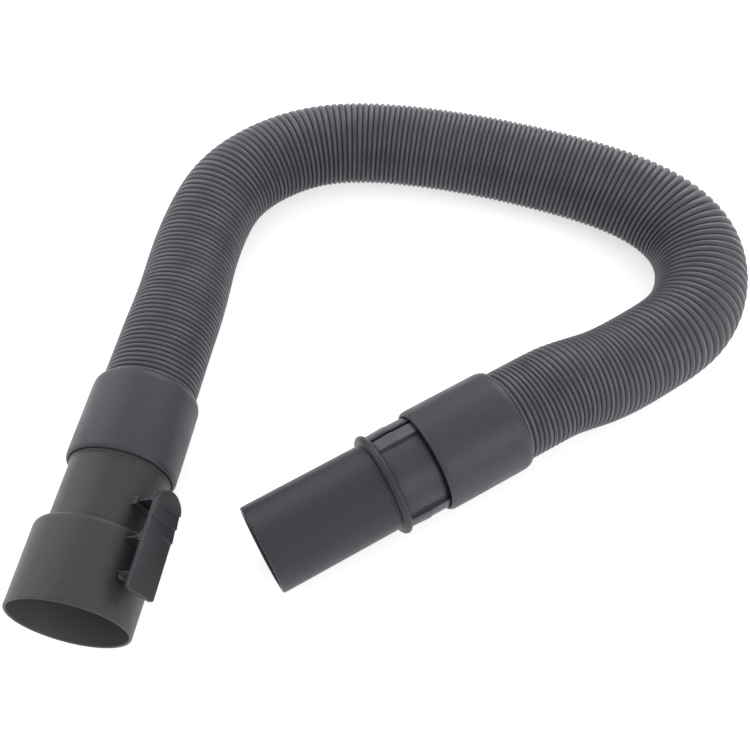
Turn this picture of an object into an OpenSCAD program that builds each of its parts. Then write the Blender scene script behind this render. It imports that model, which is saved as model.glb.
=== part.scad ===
// Vacuum cleaner hose: a ribbed stretch hose with a swivelling machine socket and a swivelling
// wand spigot. Millimetres, +Z up, standing on z = 0. Every diameter follows from the hose's.

/* [Hose] */
// Diameter of the hose over its ribs
hose_od = 44; // [32:1:60]
// Height of a rib over the valley beside it
rib_height = 1.5; // [0.8:0.1:2.2]
// Wall of the hose in a valley
hose_wall = 1.5; // [0.8:0.1:3]
// Number of ribs along the hose
rib_count = 190; // [60:2:200]

/* [Cuffs] */
// Wall of the machine end's cuff round the hose
machine_cuff_wall = 2.55; // [1.6:0.05:4]
// Length of the cuff at the machine end
machine_cuff_length = 42; // [40:0.5:60]
// Wall of the wand end's cuff round the hose
wand_cuff_wall = 2.1; // [1.6:0.05:4]
// Length of the cuff at the wand end
wand_cuff_length = 42.5; // [38:0.5:60]
// Depth of a cuff's rounded edge at its mouth
cuff_mouth_round = 1; // [0.4:0.1:1.2]
// Length of that rounded edge, along the cuff
cuff_mouth_length = 3; // [1:0.5:5]
// Length of a cuff's rounded shoulder, along the hose
cuff_shoulder = 4.5; // [2:0.5:8]
// Wall that the shoulder leaves at the cuff's end
cuff_lip = 0.3; // [0.2:0.05:0.8]

/* [Machine socket] */
// Step from the neck's outside to the bore of the bell
bell_step = 2.9; // [1:0.1:4]
// Wall of the bell at its mouth
bell_wall = 1.3; // [1.2:0.1:3]
// Growth of the bell's outer radius from its mouth to its shoulder
bell_draft = 0.4; // [0:0.1:1]
// Length of the bell, mouth to shoulder
bell_length = 38; // [34:0.5:50]
// Radius of the bell's rounded shoulder
bell_shoulder_round = 2.8; // [1:0.1:3]
// Wall of the neck behind the bell
neck_wall = 2.5; // [2:0.1:4]
// Visible length of the neck, bell to cuff
neck_length = 31.5; // [26:0.5:40]

/* [Latch] */
// Angle of the latch round the bell, from the top
latch_angle = 58; // [40:1:75]
// Height of the latch plate's outer face over the bell
latch_rise = 10.8; // [10:0.1:14]
// Width of the latch plate
latch_width = 14.8; // [12:0.1:18]
// Thickness of the latch plate
latch_plate = 2; // [1.6:0.1:3]
// Distance of the latch plate's square end from the bell's mouth
latch_start = 9.8; // [6:0.1:12]
// Length of the latch plate, with its round end
latch_length = 45.7; // [42:0.1:50]
// Distance of the latch pivot from the bell's mouth
latch_pivot_at = 32.5; // [31:0.1:34]
// Height of a grip step
grip_height = 0.8; // [0.4:0.1:1.2]
// Distance of the first grip step from the plate's square end
grip_from = 25.2; // [22:0.1:28]
// Distance from one grip step to the next
grip_pitch = 6.2; // [5:0.1:6.5]
// Distance of the catch from the bell's mouth
catch_at = 17.5; // [16:0.1:20]
// Width of the catch
catch_width = 8; // [5:0.1:9]

/* [Wand spigot] */
// How far the spigot lies inside the outside of the hose
spigot_step = 1.5; // [0.5:0.1:4]
// Wall of the spigot
spigot_wall = 2.3; // [1.8:0.1:4]
// Length of the spigot from its mouth to the stop ring
spigot_length = 58; // [45:0.5:75]
// Height of the stop ring over the spigot
stop_ring_rise = 3.5; // [2.5:0.1:6]
// Width of the stop ring
stop_ring_width = 4; // [3:0.1:6]
// Visible length between the stop ring and the cuff
collar_length = 19.5; // [14:0.5:26]
// Height of the collar over the spigot
collar_rise = 0.4; // [0.2:0.1:1.5]
// Height of the rails and the lands over the collar's two panels
rail_rise = 1.8; // [1:0.1:2]
// Angle round the collar that a rail takes
rail_angle = 17; // [8:1:30]
// Angle round the collar that a land takes
land_angle = 60; // [30:1:80]
// Angle between a land and the rail beside it
rail_groove_angle = 6; // [3:0.5:12]

/* [Swivels] */
// Radial clearance of a tube that turns in a cuff
running_gap = 0.05; // [0.03:0.01:0.09]
// Clearance beside a part that doesn't turn
seat_gap = 0.3; // [0.2:0.05:0.5]
// Width of a snap ring
snap_ring_width = 2.4; // [1.6:0.1:3]
// Depth that a snap ring sinks into the tube, and again into the cuff
snap_ring_depth = 0.95; // [0.6:0.05:1.1]
// Opening of a split snap ring
snap_ring_gap = 6; // [3:0.5:10]
// Thickness of a felt seal
seal_thickness = 2; // [1.5:0.1:3]
// Wall of the ferrule inside the hose's end
ferrule_wall = 1.4; // [1:0.1:1.8]
// Depth of the ferrule in the hose
ferrule_depth = 18; // [12:0.5:24]
// Thickness of the ferrule's flange
ferrule_flange = 2; // [1.5:0.1:3]

/* [Hidden] */
$fn = 96;
sides = 8;                     // flats round the hose's solid
bore_rings = 64;               // rings along the hose's bore
arc_steps = 6;                 // steps in a rounded edge
eps = 0.01;                    // overlap of shapes that are joined or cut

// Where the two fittings lie: the middle of each mouth, seen from above
machine_xy = [-76.1, -71.5];
wand_xy = [-7.4, -24.5];
wand_heading = 39.2;           // direction of the wand fitting, from +X

// Course of the free hose, from the machine end to the wand end: [x, y, gap under the hose]
ROUTE = [
    [-76.5, 97, 3.5], [-78.5, 124, 1.5], [-78.5, 151, 0.3], [-73.5, 178, 0], [-58.5, 201, 0],
    [-35.5, 218, 0], [-8.5, 226, 0], [19.5, 228, 0], [47.5, 227, 0], [75.5, 224, 0],
    [103.5, 219, 0], [130.5, 212, 0], [155.5, 200, 0], [173.5, 180, 0], [178.5, 153, 0],
    [170.5, 126, 0.3], [151.5, 104, 2], [129.5, 84, 5]
];

// Radii that both ends share
hose_r = hose_od / 2;
valley_r = hose_r - rib_height;
bore_r = valley_r - hose_wall;
hose_seat_r = hose_r + seat_gap;
ferrule_r = bore_r * cos(180 / sides) - seat_gap;
flange_gap = 0.05;             // radial gap of a flange or a seal in its cuff
end_gap = 0.2;                 // gap between a turning tube and its seal
lead_in = 0.8;                 // chamfer on an end that is pushed in

// Machine end: radii, then distances from the bell's mouth along its axis
neck_r = hose_seat_r;
neck_bore_r = neck_r - neck_wall;
bell_bore_r = neck_r + bell_step;
mouth_r = bell_bore_r + bell_wall;
bell_r = mouth_r + bell_draft;
machine_cuff_r = hose_seat_r + machine_cuff_wall;
machine_z = bell_r;
bell_floor = 3.2;              // wall between the bell's bore and its shoulder
machine_ring_in = 10;          // from the cuff's mouth to the snap ring
machine_neck_in = 23;          // length of the neck in the cuff
cuff_relief = [0.8, 2];        // depth and length of the wider bore at the cuff's mouth
machine_cuff_at = bell_length + neck_length;
machine_ring_at = machine_cuff_at + machine_ring_in;
machine_neck_end = machine_cuff_at + machine_neck_in;
machine_seal_at = machine_neck_end + end_gap;
machine_ferrule_at = machine_seal_at + seal_thickness;
machine_hose_at = machine_ferrule_at + ferrule_flange;

// Wand end: radii, then distances from the spigot's mouth along its axis
spigot_r = hose_r - spigot_step;
spigot_bore_r = spigot_r - spigot_wall;
stop_ring_r = spigot_r + stop_ring_rise;
collar_r = spigot_r + collar_rise;
rails_r = collar_r + rail_rise;
wand_cuff_r = hose_seat_r + wand_cuff_wall;
rails_in = 6;                  // length of the rails in the cuff
rails_gap = 0.5;               // from the rails to the end of the space for them
wand_ring_in = 3.5;            // from that end to the snap ring
wand_bore_length = 10;         // length of the cuff's bore for the collar
wand_neck_out = 0.6;           // length of the collar past that bore
stop_ring_at = spigot_length + stop_ring_width / 2;
stop_ring_end = spigot_length + stop_ring_width;
wand_cuff_at = stop_ring_end + collar_length;
rails_end = wand_cuff_at + rails_in;
wand_bore_at = rails_end + rails_gap;
wand_ring_at = wand_bore_at + wand_ring_in;
wand_bore_end = wand_bore_at + wand_bore_length;
wand_neck_end = wand_bore_end + wand_neck_out;
wand_seal_at = wand_neck_end + end_gap;
wand_ferrule_at = wand_seal_at + seal_thickness;
wand_hose_at = wand_ferrule_at + ferrule_flange;

// Two sets of a land and a rail on the collar, opposite each other. Angles are from the top
// towards the machine end's side, and the first rail starts at rail_turn.
rail_sets = 2;
rail_turn = -30;
rail_tip = 1.2;                // height of a rail over the collar where it leaves the stop ring
rail_step = 0.35;              // drop in the middle of a rail
rail_root = 1;                 // depth of a rail's root in the collar and in the stop ring

// The spigot's rim and the stop ring both lie on the floor, which tilts the wand fitting
wand_tilt = atan(stop_ring_rise / stop_ring_at);
wand_z = spigot_r * cos(wand_tilt);
wand_axis = [cos(wand_heading) * cos(wand_tilt), sin(wand_heading) * cos(wand_tilt), sin(wand_tilt)];

// Latch, in the plane of its lever: x away from the bell's axis, z along it
plate_top = bell_r + latch_rise;
plate_under = plate_top - latch_plate;
plate_end = latch_start + latch_length;
grip_start = latch_start + grip_from;
grip_count = 3;
pivot_r = 1;
clip_wall = 0.95;
clip_r = pivot_r + running_gap + clip_wall;
clip_overlap = 1.1;            // how far the clip's round reaches over the plate's under face
clip_inset = 0.4;              // from the plate's side to the clip's end
clip_mouth = 1.7;
pivot_x = plate_under + clip_overlap - clip_r;
web_thickness = 1;
web_root = 0.8;                // depth of the web's root in the bell
catch_thickness = 1.8;
catch_tip = bell_bore_r + seat_gap;
catch_shoulder = bell_r + seat_gap;
catch_shoulder_width = catch_width + 3;
window_side = 1;
window_front = 1.6;
window_back = 0.8;
window_past = 3;               // length of the window's cut past both faces of the wall
spring_thickness = 0.8;
spring_width = 10.6;
spring_bend = 4;
spring_sweep = 80;
spring_from_pivot = 18;         // from the lever's pivot to the spring's foot
spring_at = latch_pivot_at + spring_from_pivot;
spring_foot = neck_r + 0.45;
spring_x = plate_under - seat_gap - spring_thickness / 2 - spring_bend * sin(spring_sweep);
seat_block = [2.2, 12, 3.4];   // height, width and length of the block that holds the spring
seat_root = 1.2;               // depth of that block's root in the neck
slot_gap = 0.05;               // gap round the spring's foot in its slot

colour_hose = [0.30, 0.29, 0.32];
colour_cuff = [0.31, 0.30, 0.33];
colour_tube = [0.28, 0.28, 0.30];
colour_latch = [0.24, 0.23, 0.26];
colour_felt = [0.60, 0.58, 0.54];
colour_ring = [0.85, 0.84, 0.80];

// ---- placing ----

// Machine fitting: local z runs from the bell's mouth to the hose, local -y is up
module at_machine() {
    translate([machine_xy[0], machine_xy[1], machine_z]) rotate([-90, 0, 0]) children();
}

// Wand fitting: local z runs from the spigot's mouth to the hose, local -y is up
module at_wand() {
    translate([wand_xy[0], wand_xy[1], wand_z])
        rotate([wand_tilt - 90, 0, wand_heading - 90]) children();
}

// Local x points away from the axis, at the given angle from the top
module facing(angle) {
    rotate([0, 0, angle - 90]) children();
}

// ---- profiles ----

function oval(centre, reach, from, to) = [
    for (i = [0:arc_steps]) let (a = from + (to - from) * i / arc_steps)
        centre + [reach[0] * cos(a), reach[1] * sin(a)]
];
function arc(centre, r, from, to) = oval(centre, [r, r], from, to);

module revolve(points) {
    rotate_extrude() polygon(points);
}

module washer(r_in, r_out, thickness) {
    revolve([[r_in, 0], [r_out, 0], [r_out, thickness], [r_in, thickness]]);
}

module split_ring(r_in, r_out, width) {
    difference() {
        washer(r_in, r_out, width);
        translate([0, -snap_ring_gap / 2, -1]) cube([r_out + 1, snap_ring_gap, width + 2]);
    }
}

// Tube in the hose's end, with a flange that the hose's end face meets
module ferrule() {
    length = ferrule_flange + ferrule_depth;
    inner_r = ferrule_r - ferrule_wall;
    flange_r = hose_seat_r - flange_gap;
    revolve([
        [ferrule_r, 0], [flange_r, 0], [flange_r, ferrule_flange], [ferrule_r, ferrule_flange],
        [ferrule_r, length], [inner_r, length], [inner_r, ferrule_wall]
    ]);
}

// Outside of a cuff, mouth at z = 0 and shoulder round the hose at z = length
function cuff_outline(r, length) = concat(
    oval(
        [r - cuff_mouth_round, cuff_mouth_length], [cuff_mouth_round, cuff_mouth_length], -90, 0
    ),
    oval(
        [hose_seat_r + cuff_lip, length - cuff_shoulder],
        [r - hose_seat_r - cuff_lip, cuff_shoulder], 0, 90
    )
);

// Groove in a wall of radius r: a positive depth goes outwards
function groove(r, from, to, depth) = [[r, from], [r + depth, from], [r + depth, to], [r, to]];
function turned(points) = [for (i = [len(points) - 1:-1:0]) points[i]];

// ---- hose ----

function unit(v) = v / norm(v);
function hermite(a, b, ta, tb, t) =
    (2 * pow(t, 3) - 3 * pow(t, 2) + 1) * a + (pow(t, 3) - 2 * pow(t, 2) + t) * ta
    + (3 * pow(t, 2) - 2 * pow(t, 3)) * b + (pow(t, 3) - pow(t, 2)) * tb;

// Both ends run straight out of their fitting for one diameter
hose_start = [machine_xy[0], machine_xy[1] + machine_hose_at, machine_z];
hose_start_out = hose_start + [0, hose_od, 0];
hose_end = [wand_xy[0], wand_xy[1], wand_z] + wand_axis * wand_hose_at;
hose_end_out = hose_end + wand_axis * hose_od;

knots = concat([hose_start_out], [for (p = ROUTE) p + [0, 0, hose_r]], [hose_end_out]);
last_knot = len(knots) - 1;
// Tangents at the knots, settled until the curve bends evenly through them
settle_rounds = 24;
function settle(tangents, rounds) =
    rounds <= 0 ? tangents
    : settle([
        for (i = [0:last_knot])
            i == 0 || i == last_knot ? tangents[i]
            : (3 * (knots[i + 1] - knots[i - 1]) - tangents[i - 1] - tangents[i + 1]) / 4
    ], rounds - 1);
tangents = settle([
    for (i = [0:last_knot])
        i == 0 ? [0, 1, 0] * norm(knots[1] - knots[0])
        : i == last_knot ? -wand_axis * norm(knots[i] - knots[i - 1])
        : (knots[i + 1] - knots[i - 1]) / 2
], settle_rounds);
samples = 10;
line = concat(
    [hose_start],
    [
        for (i = [0:last_knot - 1], j = [0:samples - 1])
            hermite(knots[i], knots[i + 1], tangents[i], tangents[i + 1], j / samples)
    ],
    [hose_end_out, hose_end]
);
function lengths(points, i = 1, total = 0, found = [0]) =
    i >= len(points) ? found
    : let (next = total + norm(points[i] - points[i - 1]))
        lengths(points, i + 1, next, concat(found, [next]));
along = lengths(line);
hose_length = along[len(line) - 1];
table_x = [for (i = [0:len(line) - 1]) [along[i], line[i][0]]];
table_y = [for (i = [0:len(line) - 1]) [along[i], line[i][1]]];
table_z = [for (i = [0:len(line) - 1]) [along[i], line[i][2]]];
function centre_at(s) = [lookup(s, table_x), lookup(s, table_y), lookup(s, table_z)];
tangent_reach = 3;
function tangent_at(s) = unit(
    centre_at(min(s + tangent_reach, hose_length)) - centre_at(max(s - tangent_reach, 0))
);

// A ring of points square to the hose, with one point on top and one underneath
function hose_ring(s, r) =
    let (
        c = centre_at(s),
        t = tangent_at(s),
        across = unit(cross(t, [0, 0, 1])),
        up = cross(across, t)
    )
    [for (k = [0:sides - 1]) let (a = 360 * k / sides) c + r * (cos(a) * up + sin(a) * across)];

skin_rings = 2 * rib_count + 1;
skin_points = [
    for (k = [0:skin_rings - 1])
        each hose_ring(hose_length * k / (skin_rings - 1), k % 2 == 0 ? valley_r : hose_r)
];
bore_points = [
    for (k = [0:bore_rings - 1]) each hose_ring(hose_length * k / (bore_rings - 1), bore_r)
];
bore_first = sides * skin_rings;

function wall(first, rings, flip) = [
    for (k = [0:rings - 2], m = [0:sides - 1])
        let (
            a = first + k * sides + m,
            b = first + k * sides + (m + 1) % sides,
            c = a + sides,
            d = b + sides
        )
        each flip ? [[a, b, d], [a, d, c]] : [[a, d, b], [a, c, d]]
];
function end_face(outer, inner, flip) = [
    for (m = [0:sides - 1])
        let (
            a = outer + m,
            b = outer + (m + 1) % sides,
            c = inner + m,
            d = inner + (m + 1) % sides
        )
        each flip ? [[a, d, b], [a, c, d]] : [[a, b, d], [a, d, c]]
];

module hose_skin() {
    color(colour_hose) polyhedron(
        points = concat(skin_points, bore_points),
        faces = concat(
            wall(0, skin_rings, false),
            wall(bore_first, bore_rings, true),
            end_face(0, bore_first, false),
            end_face(sides * (skin_rings - 1), bore_first + sides * (bore_rings - 1), true)
        )
    );
}

// Least gap between stretches of the hose that lie over four diameters apart along it
gap_step = 10;
gap_points = [for (s = [0:gap_step:hose_length]) centre_at(s)];
gap_apart = ceil(4 * hose_od / gap_step);
least_gap = min([
    for (i = [0:len(gap_points) - 1 - gap_apart], j = [i + gap_apart:len(gap_points) - 1])
        norm(gap_points[i] - gap_points[j]) - hose_od
]);
echo(hose_length = hose_length, least_gap_between_stretches = least_gap);

// ---- machine end ----

module machine_cuff() {
    tube_r = neck_r + running_gap;
    relief_r = tube_r + cuff_relief[0];
    seat = machine_hose_at - machine_cuff_at;
    ring_from = machine_ring_in - running_gap;
    ring_to = machine_ring_in + snap_ring_width + running_gap;
    color(colour_cuff) at_machine() translate([0, 0, machine_cuff_at]) revolve(concat(
        cuff_outline(machine_cuff_r, machine_cuff_length),
        [[hose_seat_r, machine_cuff_length], [hose_seat_r, seat], [tube_r, seat]],
        turned(groove(tube_r, ring_from, ring_to, snap_ring_depth)),
        [[tube_r, cuff_relief[1]], [relief_r, cuff_relief[1] - cuff_relief[0]], [relief_r, 0]]
    ));
}

module machine_ferrule() {
    color(colour_ring) at_machine() translate([0, 0, machine_ferrule_at]) ferrule();
}

module machine_seal() {
    color(colour_felt) at_machine() translate([0, 0, machine_seal_at])
        washer(neck_bore_r, neck_r - flange_gap, seal_thickness);
}

module machine_snap_ring() {
    color(colour_ring) at_machine() translate([0, 0, machine_ring_at])
        split_ring(neck_r - snap_ring_depth + running_gap, neck_r + snap_ring_depth, snap_ring_width);
}

// Bell and neck in one moulding, with a low bead that fills the cuff's mouth, the window for the
// catch, the pivot web and the spring's seat
module machine_socket() {
    lip_round = 0.6;
    lip_chamfer = 0.4;
    neck_fillet = 1.2;
    bead_rise = 0.6;
    bead_from = machine_cuff_at - 1;
    bead_to = machine_cuff_at + 0.8;
    floor_chamfer = 1.5;
    shoulder_at = bell_length - bell_shoulder_round;
    floor_at = bell_length - bell_floor;
    ring_end = machine_ring_at + snap_ring_width + running_gap;
    color(colour_tube) at_machine() {
        difference() {
            revolve(concat(
                [[bell_bore_r, lip_chamfer], [bell_bore_r + lip_chamfer, 0]],
                arc([mouth_r - lip_round, lip_round], lip_round, -90, 0),
                arc([bell_r - bell_shoulder_round, shoulder_at], bell_shoulder_round, 0, 90),
                arc([neck_r + neck_fillet, bell_length + neck_fillet], neck_fillet, 270, 180),
                [
                    [neck_r, bead_from - bead_rise], [neck_r + bead_rise, bead_from],
                    [neck_r + bead_rise, bead_to], [neck_r, bead_to]
                ],
                groove(neck_r, machine_ring_at, ring_end, -snap_ring_depth),
                [
                    [neck_r, machine_neck_end - lead_in], [neck_r - lead_in, machine_neck_end],
                    [neck_bore_r, machine_neck_end], [neck_bore_r, floor_at + floor_chamfer],
                    [neck_bore_r + floor_chamfer, floor_at], [bell_bore_r, floor_at]
                ]
            ));
            facing(latch_angle) catch_window();
        }
        facing(latch_angle) {
            pivot_web();
            spring_seat();
        }
    }
}

// Slot through the bell's wall for the catch
module catch_window() {
    width = catch_width + 2 * window_side;
    length = catch_thickness + window_front + window_back;
    front = catch_at - catch_thickness / 2 - window_front;
    translate([bell_bore_r - window_past, -width / 2, front])
        cube([bell_r - bell_bore_r + 2 * window_past, width, length]);
}

// Thin cross web on the bell that ends in the round bar on which the lever rocks
module pivot_web() {
    width = latch_width - 2 * clip_inset;
    translate([bell_r - web_root, -width / 2, latch_pivot_at - web_thickness / 2])
        cube([pivot_x - bell_r + web_root, width, web_thickness]);
    translate([pivot_x, width / 2, latch_pivot_at]) rotate([90, 0, 0])
        cylinder(h = width, r = pivot_r);
}

// Block on the neck with the slot that holds the spring's foot
module spring_seat() {
    slot_width = spring_width + 2 * slot_gap;
    slot = spring_thickness + 2 * slot_gap;
    difference() {
        translate([neck_r - seat_root, -seat_block[1] / 2, spring_at - seat_block[2] / 2])
            cube([seat_block[0] + seat_root, seat_block[1], seat_block[2]]);
        translate([spring_foot - slot_gap, -slot_width / 2, spring_at - slot / 2])
            cube([seat_block[0] + 1, slot_width, slot]);
    }
}

// Rocking lever: plate with a round end, grip steps, the clip over the pivot bar and the catch
module latch_lever() {
    round_r = latch_width / 2;
    corner_r = 1.2;
    side = round_r - corner_r;
    clip_width = latch_width - 2 * clip_inset;
    color(colour_latch) at_machine() facing(latch_angle) {
        difference() {
            union() {
                intersection() {
                    translate([plate_under, 0, 0]) rotate([90, 0, 90])
                        linear_extrude(latch_plate + grip_height) {
                            translate([-side, latch_start]) square([2 * side, latch_length / 2]);
                            translate([-round_r, latch_start + corner_r])
                                square([latch_width, latch_length - round_r - corner_r]);
                            for (x = [-side, side])
                                translate([x, latch_start + corner_r]) circle(r = corner_r);
                            translate([0, plate_end - round_r]) circle(r = round_r);
                        }
                    translate([0, round_r + 1, 0]) rotate([90, 0, 0])
                        linear_extrude(latch_width + 2) lever_side();
                }
                translate([pivot_x, clip_width / 2, latch_pivot_at]) rotate([90, 0, 0])
                    cylinder(h = clip_width, r = clip_r);
                catch_block(catch_shoulder, catch_shoulder_width);
                catch_block(catch_tip, catch_width);
            }
            translate([pivot_x, latch_width, latch_pivot_at]) rotate([90, 0, 0])
                cylinder(h = 2 * latch_width, r = pivot_r + running_gap);
            translate([pivot_x - clip_r - 1, -latch_width, latch_pivot_at - clip_mouth / 2])
                cube([clip_r + 1, 2 * latch_width, clip_mouth]);
        }
    }
}

// Part of the catch, from the given distance up to the plate
module catch_block(from, width) {
    translate([from, -width / 2, catch_at - catch_thickness / 2])
        cube([plate_under - from + eps, width, catch_thickness]);
}

// Side of the lever's plate: x away from the axis, y along it, one tooth for each grip step
module lever_side() {
    polygon(concat(
        [[plate_under, latch_start], [plate_top, latch_start]],
        [
            for (i = [0:grip_count - 1]) let (z = grip_start + i * grip_pitch)
                each [[plate_top, z], [plate_top + grip_height, z]]
        ],
        [
            [plate_top, grip_start + grip_count * grip_pitch], [plate_top, plate_end],
            [plate_under, plate_end]
        ]
    ));
}

// Leaf that stands on the neck and bends over under the lever's grip
module latch_spring() {
    outer_r = spring_bend + spring_thickness / 2;
    inner_r = spring_bend - spring_thickness / 2;
    reach = 2 * spring_bend;
    color(colour_latch) at_machine() facing(latch_angle)
        translate([0, spring_width / 2, 0]) rotate([90, 0, 0]) linear_extrude(spring_width) {
            translate([spring_foot, spring_at - spring_thickness / 2])
                square([spring_x - spring_foot + eps, spring_thickness]);
            translate([spring_x, spring_at - spring_bend]) intersection() {
                difference() {
                    circle(r = outer_r);
                    circle(r = inner_r);
                }
                polygon([
                    [0, 0], [0, reach], [reach, reach],
                    reach * [sin(spring_sweep), cos(spring_sweep)]
                ]);
            }
        }
}

// ---- wand end ----

module wand_cuff() {
    tube_r = collar_r + running_gap;
    rails_space_r = rails_r - rail_step + seat_gap;
    step = wand_bore_at - wand_cuff_at;
    seat = wand_bore_end - wand_cuff_at;
    ring_from = wand_ring_at - wand_cuff_at - running_gap;
    ring_to = ring_from + snap_ring_width + 2 * running_gap;
    color(colour_cuff) at_wand() translate([0, 0, wand_cuff_at]) revolve(concat(
        cuff_outline(wand_cuff_r, wand_cuff_length),
        [[hose_seat_r, wand_cuff_length], [hose_seat_r, seat], [tube_r, seat]],
        turned(groove(tube_r, ring_from, ring_to, snap_ring_depth)),
        [[tube_r, step], [rails_space_r, step], [rails_space_r, 0]]
    ));
}

module wand_ferrule() {
    color(colour_ring) at_wand() translate([0, 0, wand_ferrule_at]) ferrule();
}

module wand_seal() {
    color(colour_felt) at_wand() translate([0, 0, wand_seal_at])
        washer(spigot_bore_r, hose_seat_r - flange_gap, seal_thickness);
}

module wand_snap_ring() {
    color(colour_ring) at_wand() translate([0, 0, wand_ring_at]) split_ring(
        collar_r - snap_ring_depth + running_gap, collar_r + snap_ring_depth, snap_ring_width
    );
}

// Spigot, stop ring, collar and the tube that turns in the cuff, in one moulding with the rails
module wand_spigot() {
    lip_round = 0.8;
    lip_chamfer = 0.4;
    bead_r = stop_ring_width / 2;
    ring_end = wand_ring_at + snap_ring_width + running_gap;
    color(colour_tube) at_wand() {
        revolve(concat(
            [[spigot_bore_r, lip_chamfer], [spigot_bore_r + lip_chamfer, 0]],
            arc([spigot_r - lip_round, lip_round], lip_round, -90, 0),
            [[spigot_r, spigot_length]],
            arc([stop_ring_r - bead_r, stop_ring_at], bead_r, -90, 90),
            [[collar_r, stop_ring_end]],
            groove(collar_r, wand_ring_at, ring_end, -snap_ring_depth),
            [
                [collar_r, wand_neck_end - lead_in], [collar_r - lead_in, wand_neck_end],
                [spigot_bore_r, wand_neck_end]
            ]
        ));
        for (i = [0:rail_sets - 1]) {
            start = rail_turn + 360 / rail_sets * i;
            rail(start, rail_angle);
            rail(start - rail_groove_angle - land_angle, land_angle);
        }
    }
}

// Rail or land on the collar: a ramp up from the stop ring, a small step down, then level into
// the cuff
module rail(start, angle) {
    middle = (stop_ring_end + wand_cuff_at) / 2;
    rotate([0, 0, start - 90]) rotate_extrude(angle = angle) polygon([
        [collar_r - rail_root, stop_ring_end - rail_root],
        [collar_r + rail_tip, stop_ring_end - rail_root],
        [rails_r, middle], [rails_r - rail_step, middle], [rails_r - rail_step, rails_end],
        [collar_r - rail_root, rails_end]
    ]);
}

hose_skin();
machine_cuff();
machine_ferrule();
machine_seal();
machine_snap_ring();
machine_socket();
latch_lever();
latch_spring();
wand_cuff();
wand_ferrule();
wand_seal();
wand_snap_ring();
wand_spigot();
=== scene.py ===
"""Vacuum hose: a ribbed stretch hose with a latched machine socket and a wand spigot.

Laid out as an add-on: the settings are in the sidebar, and each operator makes one piece or group
of like pieces. Everything is in metres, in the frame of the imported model.
"""

import math

import bmesh
import bpy
import numpy as np
from bpy.props import FloatProperty, FloatVectorProperty, IntProperty, PointerProperty
from mathutils import Matrix, Vector


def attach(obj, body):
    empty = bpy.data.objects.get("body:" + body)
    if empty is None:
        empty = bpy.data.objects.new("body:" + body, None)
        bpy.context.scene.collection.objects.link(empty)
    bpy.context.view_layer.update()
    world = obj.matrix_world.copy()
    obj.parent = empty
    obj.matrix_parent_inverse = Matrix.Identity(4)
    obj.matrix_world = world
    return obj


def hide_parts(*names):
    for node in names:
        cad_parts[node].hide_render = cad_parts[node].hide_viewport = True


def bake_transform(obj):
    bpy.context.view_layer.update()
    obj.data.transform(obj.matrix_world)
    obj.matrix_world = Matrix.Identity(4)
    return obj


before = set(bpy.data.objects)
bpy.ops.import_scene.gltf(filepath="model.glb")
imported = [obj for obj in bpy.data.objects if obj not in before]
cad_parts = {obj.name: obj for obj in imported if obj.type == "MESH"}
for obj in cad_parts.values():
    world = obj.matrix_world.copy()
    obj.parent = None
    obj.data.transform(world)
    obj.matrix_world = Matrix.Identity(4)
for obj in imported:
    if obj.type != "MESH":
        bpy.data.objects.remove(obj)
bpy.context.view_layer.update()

bl_info = {
    "name": "Vacuum Hose",
    "version": (1, 0, 0),
    "blender": (4, 5, 0),
    "location": "View3D > Sidebar > Hose",
    "description": "Builds a ribbed stretch hose with its two swivelling fittings",
    "category": "Object",
}

MM = 0.001

# Course of the hose, as in the part's source: [x, y, gap under the hose], millimetres
ROUTE = [
    (-76.5, 97, 3.5), (-78.5, 124, 1.5), (-78.5, 151, 0.3), (-73.5, 178, 0), (-58.5, 201, 0),
    (-35.5, 218, 0), (-8.5, 226, 0), (19.5, 228, 0), (47.5, 227, 0), (75.5, 224, 0),
    (103.5, 219, 0), (130.5, 212, 0), (155.5, 200, 0), (173.5, 180, 0), (178.5, 153, 0),
    (170.5, 126, 0.3), (151.5, 104, 2), (129.5, 84, 5),
]
HOSE_OD = 44 * MM
HOSE_R = HOSE_OD / 2

# The two fittings: middle of each mouth and the direction from it to the hose
MACHINE_MOUTH = Vector((-76.1, -71.5, 26.9)) * MM
MACHINE_AXIS = Vector((0, 1, 0))
MACHINE_HOSE_AT = 96.7 * MM
WAND_TILT = math.atan(3.5 / 60)
WAND_HEADING = math.radians(39.2)
WAND_MOUTH = Vector((-7.4, -24.5, 20.5 * math.cos(WAND_TILT))) * MM
WAND_AXIS = Vector((
    math.cos(WAND_HEADING) * math.cos(WAND_TILT),
    math.sin(WAND_HEADING) * math.cos(WAND_TILT),
    math.sin(WAND_TILT),
))
WAND_HOSE_AT = 102.8 * MM
HOSE_START = MACHINE_MOUTH + MACHINE_AXIS * MACHINE_HOSE_AT
HOSE_END = WAND_MOUTH + WAND_AXIS * WAND_HOSE_AT
# Direction of the upper rail from the spigot's axis
RAIL_TURN = math.radians(-21.5)
WAND_SIDE = WAND_AXIS.cross((0, 0, 1)).normalized()
RAIL_TOWARDS = WAND_SIDE.cross(WAND_AXIS) * math.cos(RAIL_TURN) + WAND_SIDE * math.sin(RAIL_TURN)


# ---- settings ----


class HoseSettings(bpy.types.PropertyGroup):
    """Form and finish of the ribbed hose."""

    ribs: IntProperty(
        name="Ribs", description="Number of turns of the rib along the hose", default=208,
        min=60, max=230,
    )
    rib_height: FloatProperty(
        name="Rib Height", description="Height of a rib over the valley beside it",
        default=1.5 * MM, min=0.4 * MM, max=2.5 * MM, subtype="DISTANCE", unit="LENGTH",
    )
    wall: FloatProperty(
        name="Wall", description="Wall of the hose in a valley", default=1.5 * MM,
        min=0.5 * MM, max=3 * MM, subtype="DISTANCE", unit="LENGTH",
    )
    colour: FloatVectorProperty(
        name="Vinyl", description="Colour of the vinyl", default=(0.0585, 0.056, 0.067),
        size=3, min=0, max=1, subtype="COLOR",
    )


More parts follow.
